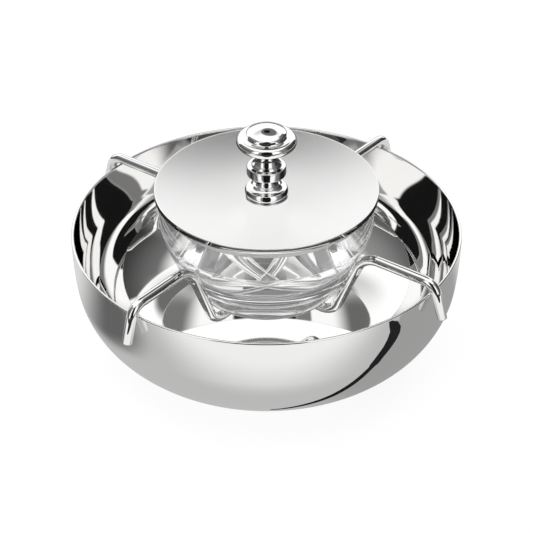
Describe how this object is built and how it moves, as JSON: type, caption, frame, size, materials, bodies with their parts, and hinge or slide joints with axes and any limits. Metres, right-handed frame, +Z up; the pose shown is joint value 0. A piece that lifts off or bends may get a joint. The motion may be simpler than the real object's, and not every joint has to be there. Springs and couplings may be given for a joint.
{
  "type": "iced sugar server",
  "caption": "Polished silver ice bowl with a hooked wire cradle that holds a clear glass dish under a dished silver lid with a turned knob.",
  "frame": {"origin": "centre of the bowl's flat base, where it stands on the table", "axes": "+Z up along the axis of the bowl, dish, lid and knob; the cradle's arms leave the axis at 50.8, 144, 230.8 and 324 degrees from +X, counted towards +Y"},
  "size_m": [0.2, 0.2, 0.1269],
  "materials": {
    "polished_silver": "mirror-polished silver plate",
    "satin_silver": "fine satin silver plate",
    "clear_glass": "clear pressed glass",
    "screw_steel": "plain steel",
    "washer_rubber": "translucent silicone"
  },
  "bodies": {
    "bowl": {"ice_bowl": "polished_silver"},
    "cradle": {"cradle_rod_upper": "polished_silver", "cradle_rod_lower": "polished_silver"},
    "dish": {"glass_dish": "clear_glass"},
    "lid": {"lid_plate": "satin_silver", "lid_locating_ring": "satin_silver", "knob": "polished_silver", "knob_washer": "washer_rubber", "knob_screw": "screw_steel"}
  },
  "joints": [
    {"name": "cradle_lift", "type": "slide", "parent": "bowl", "child": "cradle", "axis": [0, 0, 1], "range_m": [0, 0.06]},
    {"name": "dish_lift", "type": "slide", "parent": "cradle", "child": "dish", "axis": [0, 0, 1], "range_m": [0, 0.055]},
    {"name": "lid_lift", "type": "slide", "parent": "dish", "child": "lid", "axis": [0, 0, 1], "range_m": [0, 0.04]}
  ]
}
